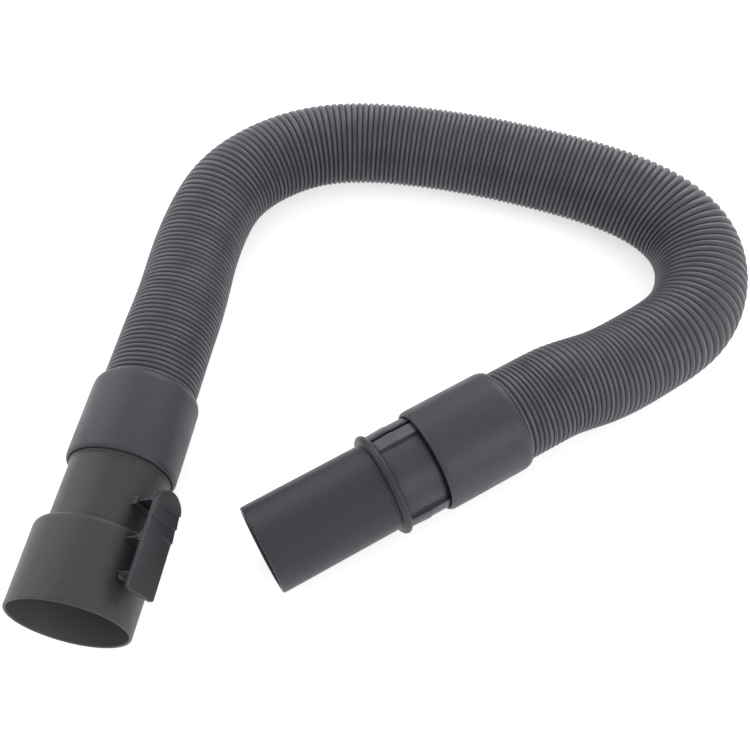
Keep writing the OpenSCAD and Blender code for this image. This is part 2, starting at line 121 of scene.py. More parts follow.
class FittingSettings(bpy.types.PropertyGroup):
    """Colours and surface of the moulded fittings."""

    cuff: FloatVectorProperty(
        name="Cuffs", description="Colour of the two cuffs", default=(0.0445, 0.0425, 0.0515),
        size=3, min=0, max=1, subtype="COLOR",
    )
    socket: FloatVectorProperty(
        name="Socket", description="Colour of the bell socket", default=(0.040, 0.037, 0.040),
        size=3, min=0, max=1, subtype="COLOR",
    )
    spigot: FloatVectorProperty(
        name="Spigot", description="Colour of the wand spigot", default=(0.028, 0.0275, 0.0345),
        size=3, min=0, max=1, subtype="COLOR",
    )
    latch: FloatVectorProperty(
        name="Latch", description="Colour of the lever and its spring",
        default=(0.0205, 0.019, 0.023), size=3, min=0, max=1, subtype="COLOR",
    )
    ring: FloatVectorProperty(
        name="Rings", description="Colour of the ferrules and the snap rings",
        default=(0.66, 0.64, 0.58), size=3, min=0, max=1, subtype="COLOR",
    )
    felt: FloatVectorProperty(
        name="Felt", description="Colour of the felt seals", default=(0.30, 0.28, 0.25),
        size=3, min=0, max=1, subtype="COLOR",
    )
    grain: FloatProperty(
        name="Grain", description="Height of the moulded grain", default=0.03 * MM,
        min=0, max=0.2 * MM, subtype="DISTANCE", unit="LENGTH",
    )
    edge: FloatProperty(
        name="Edge", description="Radius of the moulded edges", default=0.25 * MM,
        min=0.05 * MM, max=0.5 * MM, subtype="DISTANCE", unit="LENGTH",
    )


class StageSettings(bpy.types.PropertyGroup):
    """Floor, lights and camera."""

    floor: FloatVectorProperty(
        name="Floor", description="Colour of the floor", default=(0.86, 0.86, 0.87), size=3,
        min=0, max=1, subtype="COLOR",
    )
    key: FloatProperty(
        name="Key Light", description="Power of the large light at the left", default=4.5,
        min=0, unit="POWER",
    )
    fill: FloatProperty(
        name="Fill Light", description="Power of the light at the front right", default=3.0,
        min=0, unit="POWER",
    )
    back: FloatProperty(
        name="Back Light", description="Power of the light behind", default=4.5, min=0,
        unit="POWER",
    )
    ambient: FloatProperty(
        name="Ambient", description="Level of the light from all sides", default=0.80, min=0,
    )


# ---- materials ----


class Nodes:
    """A short way to add and link shader nodes."""

    def __init__(self, name):
        self.material = bpy.data.materials.new(name)
        self.material.use_nodes = True
        self.tree = self.material.node_tree
        self.shader = self.tree.nodes["Principled BSDF"]
        self.coords = self.add("ShaderNodeTexCoord").outputs["Object"]

    def add(self, kind, inputs=(), **values):
        node = self.tree.nodes.new(kind)
        for key, value in values.items():
            setattr(node, key, value)
        for key, value in dict(inputs).items():
            if isinstance(value, bpy.types.NodeSocket):
                self.tree.links.new(value, node.inputs[key])
            else:
                node.inputs[key].default_value = value
        return node

    def link(self, socket, name):
        self.tree.links.new(socket, self.shader.inputs[name])

    def noise(self, scale, detail=3.0, roughness=0.5, coords=None):
        return self.add(
            "ShaderNodeTexNoise",
            {"Vector": coords or self.coords, "Scale": scale, "Detail": detail,
             "Roughness": roughness},
        ).outputs["Fac"]

    def spread(self, socket, low, high, to_low=0.0, to_high=1.0):
        return self.add(
            "ShaderNodeMapRange",
            {"Value": socket, "From Min": low, "From Max": high, "To Min": to_low,
             "To Max": to_high},
        ).outputs["Result"]

    def maths(self, operation, a, b=0.0):
        return self.add("ShaderNodeMath", {0: a, 1: b}, operation=operation).outputs[0]

    def mix(self, factor, a, b):
        node = self.add("ShaderNodeMix", data_type="RGBA")
        for key, value in ((0, factor), (6, a), (7, b)):
            if isinstance(value, bpy.types.NodeSocket):
                self.tree.links.new(value, node.inputs[key])
            else:
                node.inputs[key].default_value = value
        return node.outputs[2]

    def edges(self, radius, turned=(0.985, 0.90)):
        """1 on sharp edges, 0 on the faces beside them; turned is how far the surface turns."""
        bevel = self.add("ShaderNodeBevel", {"Radius": radius}, samples=6)
        flat = self.add("ShaderNodeNewGeometry")
        same = self.add(
            "ShaderNodeVectorMath",
            {0: bevel.outputs["Normal"], 1: flat.outputs["True Normal"]}, operation="DOT_PRODUCT",
        ).outputs["Value"]
        return self.spread(same, *turned)

    def crevices(self, reach):
        """1 in the open, less in the corners of the piece; the mask for painted shade."""
        return self.add(
            "ShaderNodeAmbientOcclusion", {"Distance": reach}, samples=6, only_local=True
        ).outputs["AO"]

    def bump(self, layers):
        """layers are (height socket, height in metres), finest last."""
        normal = None
        for socket, height in layers:
            inputs = {"Height": socket, "Distance": height, "Strength": 1.0}
            if normal:
                inputs["Normal"] = normal
            normal = self.add("ShaderNodeBump", inputs).outputs["Normal"]
        self.link(normal, "Normal")


# The middle of a noise texture's range, where nearly all its values lie
MIDDLE = (0.34, 0.66)
WIDE_MIDDLE = (0.3, 0.7)
# Sizes of the moulded plastic's patterns, in features per metre
SPECKLE = 1400.0
MOTTLE = 320.0
UNEVEN = 210.0
HANDLING = 95.0
# The spigot's rails, by distance from its axis and place along it
RAIL_RADII = (21.5 * MM, 21.8 * MM)
RAIL_START = (62.5 * MM, 63 * MM)
RAIL_COSINES = (math.cos(math.radians(11)), math.cos(math.radians(9.5)))
# The rails and collar are tinted lighter and bluer: partly wear, partly a painted highlight
RAIL_WEAR_AND_HIGHLIGHT_TINT = 3.0
# Painted shadow: a dark band on the collar beside the cuff's mouth
COLLAR_SHADOW_BAND = (79.6 * MM, 80.6 * MM)
COLLAR_SHADOW_TINT = 0.4
# The wall inside the bell, by the same two measures from the bell's axis
BELL_BORE = (25.3 * MM, 25.9 * MM)
BELL_DEPTH = (34 * MM, 38 * MM)
# Painted light: the wall inside the bell is tinted this much lighter
BORE_LIGHT_TINT = 2.2
CREVICE_REACH = 2.5 * MM
# Painted shade: the base colour is darkened this much in the corners
CREVICE_SHADE_TINT = 0.45


def tinted(colour, factor):
    return tuple(min(1.0, c * factor) for c in colour) + (1.0,)


def off_axis(n, point, axis):
    """Distance of the surface from a line, and the place along the line."""
    arm = n.add("ShaderNodeVectorMath", {0: n.coords, 1: point}, operation="SUBTRACT").outputs[0]
    along = n.add("ShaderNodeVectorMath", {0: arm, 1: axis}, operation="DOT_PRODUCT")
    cross = n.add("ShaderNodeVectorMath", {0: arm, 1: axis}, operation="CROSS_PRODUCT").outputs[0]
    away = n.add("ShaderNodeVectorMath", {0: cross}, operation="LENGTH")
    return away.outputs["Value"], along.outputs["Value"], arm


# How far an edge is rubbed on to its faces, and how far a surface turns at a shallow grip step;
# the lighter tint at the grip steps is partly wear and partly a painted highlight
EDGE_REACH = 0.55 * MM
GRIP_REACH = 0.8 * MM
GRIP_TURNED = (0.997, 0.96)
GRIP_WEAR_AND_HIGHLIGHT_TINT = 3.2


def moulded_plastic(name, colour, grain, roughness=0.42, edge=1.55, cloud=14.0, fitting=None):
    """Moulded plastic: fine spark grain, faint flow clouds, shade painted into its corners, edges
    rubbed lighter and smoother, on the lever's grip steps partly as a painted highlight.
    """
    n = Nodes(name)
    clouds = n.noise(cloud, 2.0)
    speckle = n.noise(SPECKLE, 2.0, 0.6)
    handling = n.noise(HANDLING, 4.0, 0.62)
    mottle = n.noise(MOTTLE, 3.0)
    base = n.mix(n.spread(clouds, *MIDDLE), tinted(colour, 0.94), tinted(colour, 1.07))
    base = n.mix(n.spread(speckle, 0.35, 0.75, 0.0, 0.22), base, tinted(colour, 1.35))
    base = n.mix(n.spread(mottle, 0.38, 0.66, 0.0, 0.5), base, tinted(colour, 0.86))
    sharp = n.edges(GRIP_REACH, GRIP_TURNED) if fitting == "lever" else n.edges(EDGE_REACH)
    wear_and_grip_highlight = n.maths("MULTIPLY", sharp, n.spread(handling, 0.38, 0.62, 0.35, 1.0))
    n.shader.inputs["Specular IOR Level"].default_value = 0.35
    # painted shade in the piece's corners and crevices
    unshaded = n.spread(n.crevices(CREVICE_REACH), 0.5, 0.9)
    base = n.mix(unshaded, tinted(colour, CREVICE_SHADE_TINT), base)
    # edges rubbed lighter: wear, and on the lever's grip steps also a painted highlight
    base = n.mix(wear_and_grip_highlight, base, tinted(colour, edge))
    gloss = n.spread(handling, *WIDE_MIDDLE, roughness + 0.05, roughness - 0.04)
    if fitting == "spigot":
        away, along, arm = off_axis(n, WAND_MOUTH, WAND_AXIS)
        towards = n.add(
            "ShaderNodeVectorMath", {0: arm, 1: RAIL_TOWARDS}, operation="DOT_PRODUCT"
        ).outputs["Value"]
        rail = n.maths("DIVIDE", n.maths("ABSOLUTE", towards), away)
        rail = n.maths("MULTIPLY", n.spread(away, *RAIL_RADII), n.spread(rail, *RAIL_COSINES))
        # rails and collar tinted lighter and bluer: partly handling wear, partly a painted
        # highlight
        rail_wear_and_highlight = n.maths("MULTIPLY", n.spread(rail, 0, 1, 0.22, 1.0), n.spread(along, *RAIL_START))
        rail_wear_and_highlight = n.maths("MULTIPLY", rail_wear_and_highlight, n.spread(handling, 0.3, 0.6, 0.7, 1.0))
        polished_and_lit = (colour[0], colour[1], colour[2] * 1.02)
        base = n.mix(rail_wear_and_highlight, base, tinted(polished_and_lit, RAIL_WEAR_AND_HIGHLIGHT_TINT))
        # painted shadow: the collar darkened beside the cuff's mouth
        base = n.mix(n.spread(along, *COLLAR_SHADOW_BAND, 0.0, 0.9), base, tinted(colour, COLLAR_SHADOW_TINT))
        gloss = n.maths("SUBTRACT", gloss, n.maths("MULTIPLY", rail_wear_and_highlight, 0.12))
    if fitting == "socket":
        away, along, _ = off_axis(n, MACHINE_MOUTH, MACHINE_AXIS)
        near_axis = n.spread(away, *BELL_BORE, 1.0, 0.0)
        bore = n.maths("MULTIPLY", near_axis, n.spread(along, *BELL_DEPTH, 1.0, 0.0))
        # painted light: the inside of the bell is lightened
        base = n.mix(n.maths("MULTIPLY", bore, 0.9), base, tinted(colour, BORE_LIGHT_TINT))
    n.link(base, "Base Color")
    n.link(n.maths("SUBTRACT", gloss, n.maths("MULTIPLY", wear_and_grip_highlight, 0.08)), "Roughness")
    n.bump([(n.noise(UNEVEN, 2.0), grain * 1.2), (speckle, grain)])
    return n.material


# Where the vinyl is warmer: place along the hose, and reach of the change
WARM_AT = 450 * MM
WARM_REACH = (40 * MM, 170 * MM)
# Painted shade darkens the valleys; the crest tint is partly wear and partly a painted highlight
VALLEY_SHADE_TINT = 0.6
CREST_WEAR_AND_HIGHLIGHT_TINT = 1.9


def ribbed_vinyl(name, colour):
    """Soft vinyl: crests rubbed lighter in streaks along the rib, partly as a painted highlight;
    valleys dull and darker with painted shade.
    """
    n = Nodes(name)
    rib = n.add("ShaderNodeAttribute", attribute_name="rib").outputs["Fac"]
    wrap = n.add("ShaderNodeAttribute", attribute_name="wrap").outputs["Vector"]
    along_rib = n.add(
        "ShaderNodeMapping", {"Vector": wrap, "Scale": (420.0, 48.0, 48.0)}
    ).outputs["Vector"]
    streaks = n.noise(1.0, 2.0, 0.55, along_rib)
    clouds = n.noise(26.0, 3.0)
    tint = n.noise(70.0, 1.0)
    grain = n.noise(1800.0, 2.0, 0.6)
    base = n.mix(n.spread(clouds, *MIDDLE), tinted(colour, 0.90), tinted(colour, 1.10))
    cool = (colour[0] * 0.95, colour[1], colour[2] * 1.12, 1.0)
    base = n.mix(n.spread(tint, 0.45, 0.65, 0.0, 0.7), base, cool)
    along = n.add("ShaderNodeSeparateXYZ", {"Vector": wrap}).outputs["X"]
    off = n.maths("ABSOLUTE", n.maths("SUBTRACT", along, WARM_AT))
    warm = (colour[0] * 1.06, colour[1] * 0.97, colour[2] * 0.93, 1.0)
    base = n.mix(n.spread(off, *WARM_REACH, 0.8, 0.0), base, warm)
    # painted shade: the valleys are darkened
    base = n.mix(n.spread(rib, 0.0, 0.6, 0.3, 0.0), base, tinted(colour, VALLEY_SHADE_TINT))
    # crests lighter in streaks: partly wear, partly a painted highlight
    crest_wear_and_highlight = n.maths(
        "MULTIPLY", n.spread(rib, 0.72, 1.0), n.spread(streaks, 0.36, 0.68, 0.0, 0.9)
    )
    n.link(n.mix(crest_wear_and_highlight, base, tinted(colour, CREST_WEAR_AND_HIGHLIGHT_TINT)), "Base Color")
    gloss = n.spread(rib, 0.2, 1.0, 0.58, 0.40)
    n.link(n.maths("ADD", gloss, n.spread(streaks, *WIDE_MIDDLE, 0.06, -0.06)), "Roughness")
    n.shader.inputs["Specular IOR Level"].default_value = 0.4
    n.bump([(streaks, 0.08 * MM), (grain, 0.02 * MM)])
    return n.material


def white_nylon(name, colour):
    """Uncoloured nylon: waxy, a little cloudy, with fine scuffs."""
    n = Nodes(name)
    clouds = n.noise(60.0, 3.0)
    scuffs = n.noise(700.0, 4.0, 0.7)
    base = n.mix(n.spread(clouds, *MIDDLE), tinted(colour, 0.93), tinted(colour, 1.03))
    n.link(n.mix(n.edges(0.4 * MM), base, tinted(colour, 1.12)), "Base Color")
    n.link(n.spread(scuffs, *WIDE_MIDDLE, 0.34, 0.48), "Roughness")
    n.shader.inputs["Subsurface Weight"].default_value = 0.15
    n.shader.inputs["Subsurface Scale"].default_value = 0.8 * MM
    n.bump([(scuffs, 0.015 * MM)])
    return n.material


def pressed_felt(name, colour):
    """Pressed wool felt: matted fibres and a soft nap."""
    n = Nodes(name)
    stretched = n.add(
        "ShaderNodeMapping", {"Vector": n.coords, "Scale": (1.0, 3.0, 1.6)}
    ).outputs["Vector"]
    fibres = n.noise(1500.0, 5.0, 0.75, stretched)
    mats = n.noise(260.0, 3.0)
    base = n.mix(n.spread(fibres, *WIDE_MIDDLE), tinted(colour, 0.7), tinted(colour, 1.25))
    n.link(n.mix(n.spread(mats, 0.4, 0.6, 0.0, 0.35), base, tinted(colour, 0.8)), "Base Color")
    n.link(n.spread(fibres, *WIDE_MIDDLE, 0.86, 0.97), "Roughness")
    n.shader.inputs["Sheen Weight"].default_value = 0.4
    n.bump([(mats, 0.12 * MM), (fibres, 0.1 * MM)])
    return n.material


def finish_nodes(material, *names):
    """Gives CAD nodes this material."""
    for name in names:
        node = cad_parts[name]
        if not node.material_slots:
            node.data.materials.append(material)
        for place in node.material_slots:
            place.material = material


# ---- hose ----


LINE_STEPS = 40                # steps of the middle line between two points of the route
SETTLING_ROUNDS = 24           # rounds in which the line's directions settle
AXES_REACH = 3 * MM            # the hose's direction is taken over this much to each side


def hose_line():
    """The hose's middle line, as the part's source draws it."""
    start_out = HOSE_START + MACHINE_AXIS * HOSE_OD
    end_out = HOSE_END + WAND_AXIS * HOSE_OD
    knots = np.array(
        [start_out] + [(x * MM, y * MM, gap * MM + HOSE_R) for x, y, gap in ROUTE] + [end_out]
    )
    tangents = np.zeros_like(knots)
    tangents[1:-1] = (knots[2:] - knots[:-2]) / 2
    tangents[0] = np.array(MACHINE_AXIS) * np.linalg.norm(knots[1] - knots[0])
    tangents[-1] = -np.array(WAND_AXIS) * np.linalg.norm(knots[-1] - knots[-2])
    for _ in range(SETTLING_ROUNDS):
        settled = tangents.copy()
        settled[1:-1] = (3 * (knots[2:] - knots[:-2]) - tangents[:-2] - tangents[2:]) / 4
        tangents = settled
    line = [np.array(HOSE_START)]
    for a, b, ta, tb in zip(knots, knots[1:], tangents, tangents[1:]):
        for t in np.arange(LINE_STEPS) / LINE_STEPS:
            line.append(
                (2 * t**3 - 3 * t**2 + 1) * a + (t**3 - 2 * t**2 + t) * ta
                + (3 * t**2 - 2 * t**3) * b + (t**3 - t**2) * tb
            )
    line += [np.array(end_out), np.array(HOSE_END)]
    line = np.array(line)
    along = np.concatenate([[0], np.cumsum(np.linalg.norm(np.diff(line, axis=0), axis=1))])
    return line, along


class Course:
    """Places and directions along the hose."""

    def __init__(self):
        self.line, self.along = hose_line()
        self.length = self.along[-1]

    def centre(self, s):
        return np.stack([np.interp(s, self.along, self.line[:, k]) for k in range(3)], axis=-1)

    def axes(self, s):
        ahead = self.centre(np.minimum(s + AXES_REACH, self.length))
        t = ahead - self.centre(np.maximum(s - AXES_REACH, 0))
        t /= np.linalg.norm(t, axis=-1, keepdims=True)
        across = np.cross(t, (0.0, 0.0, 1.0))
        across /= np.linalg.norm(across, axis=-1, keepdims=True)
        return t, across, np.cross(across, t)

    def on_wall(self, s, angle, radius):
        """Points on a tube round the line; angle is from the top."""
        t, across, up = self.axes(s)
        a, r = angle[..., None], radius[..., None]
        return self.centre(s) + r * (np.cos(a) * up + np.sin(a) * across)


# One rib, valley to valley: (share of the pitch, share of the height)
RIB = ((0.0, 0.0), (0.07, 0.40), (0.18, 0.76), (0.33, 0.95), (0.5, 1.0), (0.67, 0.95),
       (0.82, 0.76), (0.93, 0.40))
SIDES = 48                     # points round the hose in one turn
TABLE_STEPS = 1200             # steps along the hose in which the turns are counted
BORE_RINGS = 150
# Where the last bend opens the ribs: place along the hose, reach and share of the radius
BEND_AT = 452 * MM
BEND_REACH = 45 * MM
BEND_SWELL = 0.035
# A drawn-out rib stands deeper: share of the full height with no pitch, and more per millimetre
DEPTH_START = 0.55
DEPTH_PER_MM = 0.14
# The ribs fade out over this length at each end
PLAIN_END = 3 * MM
# How far the hose is drawn out: [place along it, pitch of the ribs there], millimetres
DRAWN = (
    (0, 2.4), (20, 2.5), (65, 2.5), (110, 3.0), (155, 3.6), (180, 3.3), (210, 3.4), (250, 2.8),
    (290, 2.65), (350, 2.65), (390, 3.1), (430, 4.3), (485, 3.9), (520, 3.2), (555, 2.4),
    (622, 2.4),
)
# How far the ribs lean out of square: [place in millimetres, sideways slope, upward slope]
LEAN = (
    (0, 0, 0), (44, 0, -0.02), (68, -0.08, -0.09), (92, -0.12, -0.07), (140, -0.06, -0.03),
    (164, 0.02, 0), (212, 0, 0.07), (330, 0, 0.09), (380, 0, 0.12), (404, 0.05, 0.17),
    (428, 0.05, 0.2), (452, 0.02, 0.05), (476, 0, -0.03), (524, -0.05, 0.04), (572, 0.08, 0.03),
    (596, 0.02, -0.08), (622, 0, 0),
)


def mesh_object(name, points, faces, material):
    mesh = bpy.data.meshes.new(name)
    mesh.from_pydata([tuple(p) for p in points], [], faces)
    mesh.validate()
    obj = bpy.data.objects.new(name, mesh)
    bpy.context.scene.collection.objects.link(obj)
    mesh.materials.append(material)
    return obj


def select_only(obj):
    bpy.ops.object.select_all(action="DESELECT")
    obj.select_set(True)
    bpy.context.view_layer.objects.active = obj


def helical_wall(course, settings):
    """The outer wall: one rib wound round the hose, every vertex on the helix."""
    turns = settings.ribs + 1
    step, part = np.meshgrid(np.arange(turns * SIDES), np.arange(len(RIB)), indexing="ij")
    shares = np.array(RIB)
    drawn = np.array(DRAWN) * MM
    place = np.linspace(0, course.length, TABLE_STEPS)
    wound = np.concatenate([[0], np.cumsum(1 / np.interp(place, *drawn.T))[:-1]])
    turn = step / SIDES - 1 + shares[part, 0]
    s = np.interp(turn / settings.ribs, wound / wound[-1], place, left=0)
    angle = 2 * np.pi * (step % SIDES) / SIDES
    fade = np.clip(np.minimum(s, course.length - s) / PLAIN_END, 0, 1)
    height = shares[part, 1] * fade
    lean = np.array(LEAN)
    sideways = np.interp(s, lean[:, 0] * MM, lean[:, 1])
    upward = np.interp(s, lean[:, 0] * MM, lean[:, 2])
    s = s + HOSE_R * (sideways * np.sin(angle) + upward * np.cos(angle))
    s = np.clip(s, 0, course.length)
    depth = settings.rib_height * (DEPTH_START + DEPTH_PER_MM * np.interp(s, *drawn.T) / MM)
    radius = HOSE_R - depth * (1 - height)
    swell = BEND_SWELL * np.exp(-(((s - BEND_AT) / BEND_REACH) ** 2))
    radius = radius * (1 + swell * np.sqrt((1 + np.cos(angle)) / 2))
    points = course.on_wall(s, angle, radius).reshape(-1, 3)
    round_hose = np.stack([s, HOSE_R * np.cos(angle), HOSE_R * np.sin(angle)], axis=-1)
    count = len(RIB)
    faces = []
    for i in range(turns * SIDES - 1):
        for j in range(count):
            # the last line of one turn meets the first line of the next
            a = i * count + j
            b = (i + 1) * count + j
            if j + 1 < count:
                c, d = b + 1, a + 1
            else:
                if i + SIDES + 1 >= turns * SIDES:
                    continue
                c, d = (i + 1 + SIDES) * count, (i + SIDES) * count
            faces.append((a, b, c, d))
    return points, faces, height.reshape(-1), round_hose.reshape(-1, 3)


def add_bore(bm, course, bore_r):
    """Adds the wall of the bore and joins it to the outer wall at both ends."""
    s = np.repeat(np.linspace(0, course.length, BORE_RINGS), SIDES)
    angle = np.tile(2 * np.pi * np.arange(SIDES) / SIDES, BORE_RINGS)
    bore = course.on_wall(s, angle, np.full(len(s), bore_r))
    inner = [bm.verts.new(p) for p in bore]
    for k in range(BORE_RINGS - 1):
        for m in range(SIDES):
            n = (m + 1) % SIDES
            bm.faces.new((inner[k * SIDES + m], inner[(k + 1) * SIDES + m],
                          inner[(k + 1) * SIDES + n], inner[k * SIDES + n]))
    bm.edges.ensure_lookup_table()
    for end in (0.0, course.length):
        middle = Vector(course.centre(np.array(end)))
        rim = [e for e in bm.edges if e.is_boundary
               and (e.verts[0].co - middle).length < HOSE_R + MM]
        bmesh.ops.bridge_loops(bm, edges=rim)


class HOSE_OT_stretch_hose(bpy.types.Operator):
    """Winds the ribbed stretch hose along its course"""

    bl_idname = "vacuum_hose.stretch_hose"
    bl_label = "Stretch Hose"

    def execute(self, context):
        settings = context.scene.hose_form
        course = Course()
        points, faces, height, round_hose = helical_wall(course, settings)
        vinyl = ribbed_vinyl("drawn_vinyl", settings.colour)
        hose = mesh_object("stretch_hose", points, faces, vinyl)
        mesh = hose.data
        rib = mesh.attributes.new("rib", "FLOAT", "POINT")
        rib.data.foreach_set("value", height.astype(np.float32))
        wrap = mesh.attributes.new("wrap", "FLOAT_VECTOR", "POINT")
        wrap.data.foreach_set("vector", round_hose.astype(np.float32).reshape(-1))
        bm = bmesh.new()
        bm.from_mesh(mesh)
        bmesh.ops.remove_doubles(bm, verts=bm.verts, dist=2e-6)
        bmesh.ops.dissolve_degenerate(bm, edges=bm.edges, dist=1e-6)
        add_bore(bm, course, HOSE_R - settings.rib_height - settings.wall)
        bmesh.ops.recalc_face_normals(bm, faces=bm.faces)
        open_edges = sum(1 for e in bm.edges if not e.is_manifold)
        bm.to_mesh(mesh)
        bm.free()
        if open_edges:
            raise RuntimeError(f"the hose has {open_edges} open edges")
        select_only(hose)
        bpy.ops.object.shade_smooth()
        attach(hose, "hose")
        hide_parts("hose_skin")
        return {"FINISHED"}


# ---- fittings ----


FLAT_ANGLE = math.radians(0.5)     # faces that turn less are one flat
EDGE_ANGLE = math.radians(30)      # edges that turn more are rounded
SMOOTH_ANGLE = math.radians(35)    # edges that turn less are shaded smooth


def worked_copy(name, node, body, material, edge):
    """A piece in the form of a CAD node, its triangles merged into whole flats, edges rounded.

    With no body, the piece is left unattached.
    """
    piece = bpy.data.objects.new(name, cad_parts[node].data.copy())
    bpy.context.scene.collection.objects.link(piece)
    piece.data.materials.clear()
    piece.data.materials.append(material)
    select_only(piece)
    if piece.data.has_custom_normals:
        bpy.ops.mesh.customdata_custom_splitnormals_clear()
    bpy.ops.object.mode_set(mode="EDIT")
    bpy.ops.mesh.select_all(action="SELECT")
    bpy.ops.mesh.remove_doubles(threshold=0.001 * MM)
    bpy.ops.mesh.dissolve_limited(angle_limit=FLAT_ANGLE)
    bpy.ops.object.mode_set(mode="OBJECT")
    rounding = piece.modifiers.new("edge_rounding", "BEVEL")
    rounding.width = edge
    rounding.segments = 3
    rounding.limit_method = "ANGLE"
    rounding.angle_limit = EDGE_ANGLE
    rounding.use_clamp_overlap = False
    bpy.ops.object.modifier_apply(modifier=rounding.name)
    bpy.ops.object.shade_smooth_by_angle(angle=SMOOTH_ANGLE)
    if body:
        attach(piece, body)
    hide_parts(node)
    return piece


class HOSE_OT_cuffs(bpy.types.Operator):
    """Makes the two cuffs, the shells round the hose's ends"""

    bl_idname = "vacuum_hose.cuffs"
    bl_label = "Cuffs"

    def execute(self, context):
        look = context.scene.hose_fittings
        plastic = moulded_plastic("cuff_shell_plastic", look.cuff, look.grain)
        for node in ("machine_cuff", "wand_cuff"):
            worked_copy(f"{node}_shell", node, "hose", plastic, look.edge)
        return {"FINISHED"}


class HOSE_OT_tubes(bpy.types.Operator):
    """Makes the bell socket of the machine end and the spigot of the wand end"""

    bl_idname = "vacuum_hose.tubes"
    bl_label = "Socket and Spigot"

    def execute(self, context):
        look = context.scene.hose_fittings
        plastic = moulded_plastic("socket_plastic", look.socket, look.grain, fitting="socket")
        worked_copy("bell_socket", "machine_socket", "socket", plastic, look.edge)
        plastic = moulded_plastic("spigot_plastic", look.spigot, look.grain, fitting="spigot")
        worked_copy("spigot_tube", "wand_spigot", "spigot", plastic, look.edge)
        return {"FINISHED"}


# Radius of the edges of the leaf spring, which runs from its root in the neck to its end under the
# lever
LEAF_EDGE = 0.12 * MM


class HOSE_OT_latch(bpy.types.Operator):
    """Makes the latch lever and the leaf spring under it"""

    bl_idname = "vacuum_hose.latch"
    bl_label = "Latch"

    def execute(self, context):
        look = context.scene.hose_fittings
        plastic = moulded_plastic(
            "lever_plastic", look.latch, look.grain, edge=GRIP_WEAR_AND_HIGHLIGHT_TINT, fitting="lever"
        )
        worked_copy("grip_lever", "latch_lever", "latch", plastic, look.edge)
        leaf = worked_copy(
            "spring_leaf", "latch_spring", None, plastic, LEAF_EDGE
        )
        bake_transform(leaf)
        return {"FINISHED"}


class HOSE_OT_inner_parts(bpy.types.Operator):
    """Finishes the ferrules, the snap rings and the felt seals"""

    bl_idname = "vacuum_hose.inner_parts"
    bl_label = "Inner Parts"

    def execute(self, context):
        look = context.scene.hose_fittings
        finish_nodes(
            white_nylon("natural_nylon", look.ring), "machine_ferrule", "wand_ferrule",
            "machine_snap_ring", "wand_snap_ring",
        )
        finish_nodes(pressed_felt("pressed_felt", look.felt), "machine_seal", "wand_seal")
        return {"FINISHED"}


# ---- stage ----

CAMERA_AT = Vector((74.1, -190.2, 416.8)) * MM
CAMERA_DOWN = math.radians(56)
CAMERA_ROLL = math.radians(-1.0085)
CAMERA_TURN = math.radians(10.5085)
FOCAL_SHARE = 4 / 3            # focal length over the width of the picture


# What the lights point at, and each light's place, width and height, and colour
STAGE_MIDDLE = (0.05, 0.08, 0.02)
KEY_LIGHT = ((-0.9, 0.5, 0.7), (1.1, 1.1), (0.94, 0.97, 1.0))
FRONT_LIGHT = ((0.95, -0.45, 0.6), (0.8, 0.6), (1.0, 0.97, 0.95))
BACK_LIGHT = ((0.3, 1.1, 0.6), (0.9, 0.5), (1.0, 1.0, 1.0))
FLOOR_SIZE = 6
FLOOR_MIDDLE = (0.05, 0.1, 0)
FLOOR_GLOW = 0.6               # added to the floor where it is seen, so that it reads as white


def soft_light(name, lamp_setup, power):
    place, size, colour = lamp_setup
    bpy.ops.object.select_all(action="DESELECT")
    bpy.ops.object.light_add(type="AREA", location=place)
    lamp = bpy.context.object
    lamp.name = name
    lamp.data.name = name
    lamp.data.shape = "RECTANGLE"
    lamp.data.size, lamp.data.size_y = size
    lamp.data.energy = power
    lamp.data.color = colour
    towards = Vector(STAGE_MIDDLE) - Vector(place)
    lamp.rotation_euler = towards.to_track_quat("-Z", "Y").to_euler()


def pale_floor(colour):
    """Floor material: a matt pale surface that the camera sees a little brighter."""
    n = Nodes("pale_floor")
    clouds = n.noise(1.5, 2.0)
    base = n.mix(n.spread(clouds, *WIDE_MIDDLE), tinted(colour, 0.995), tinted(colour, 1.0))
    n.link(base, "Base Color")
    n.shader.inputs["Roughness"].default_value = 0.9
    n.shader.inputs["Specular IOR Level"].default_value = 0.0
    seen = n.add("ShaderNodeLightPath")
    direct = n.maths("MAXIMUM", seen.outputs["Is Camera Ray"], seen.outputs["Is Glossy Ray"])
    direct = n.maths("MAXIMUM", direct, seen.outputs["Is Transmission Ray"])
    n.shader.inputs["Emission Color"].default_value = (1, 1, 1, 1)
    n.link(n.maths("MULTIPLY", direct, FLOOR_GLOW), "Emission Strength")
    return n.material


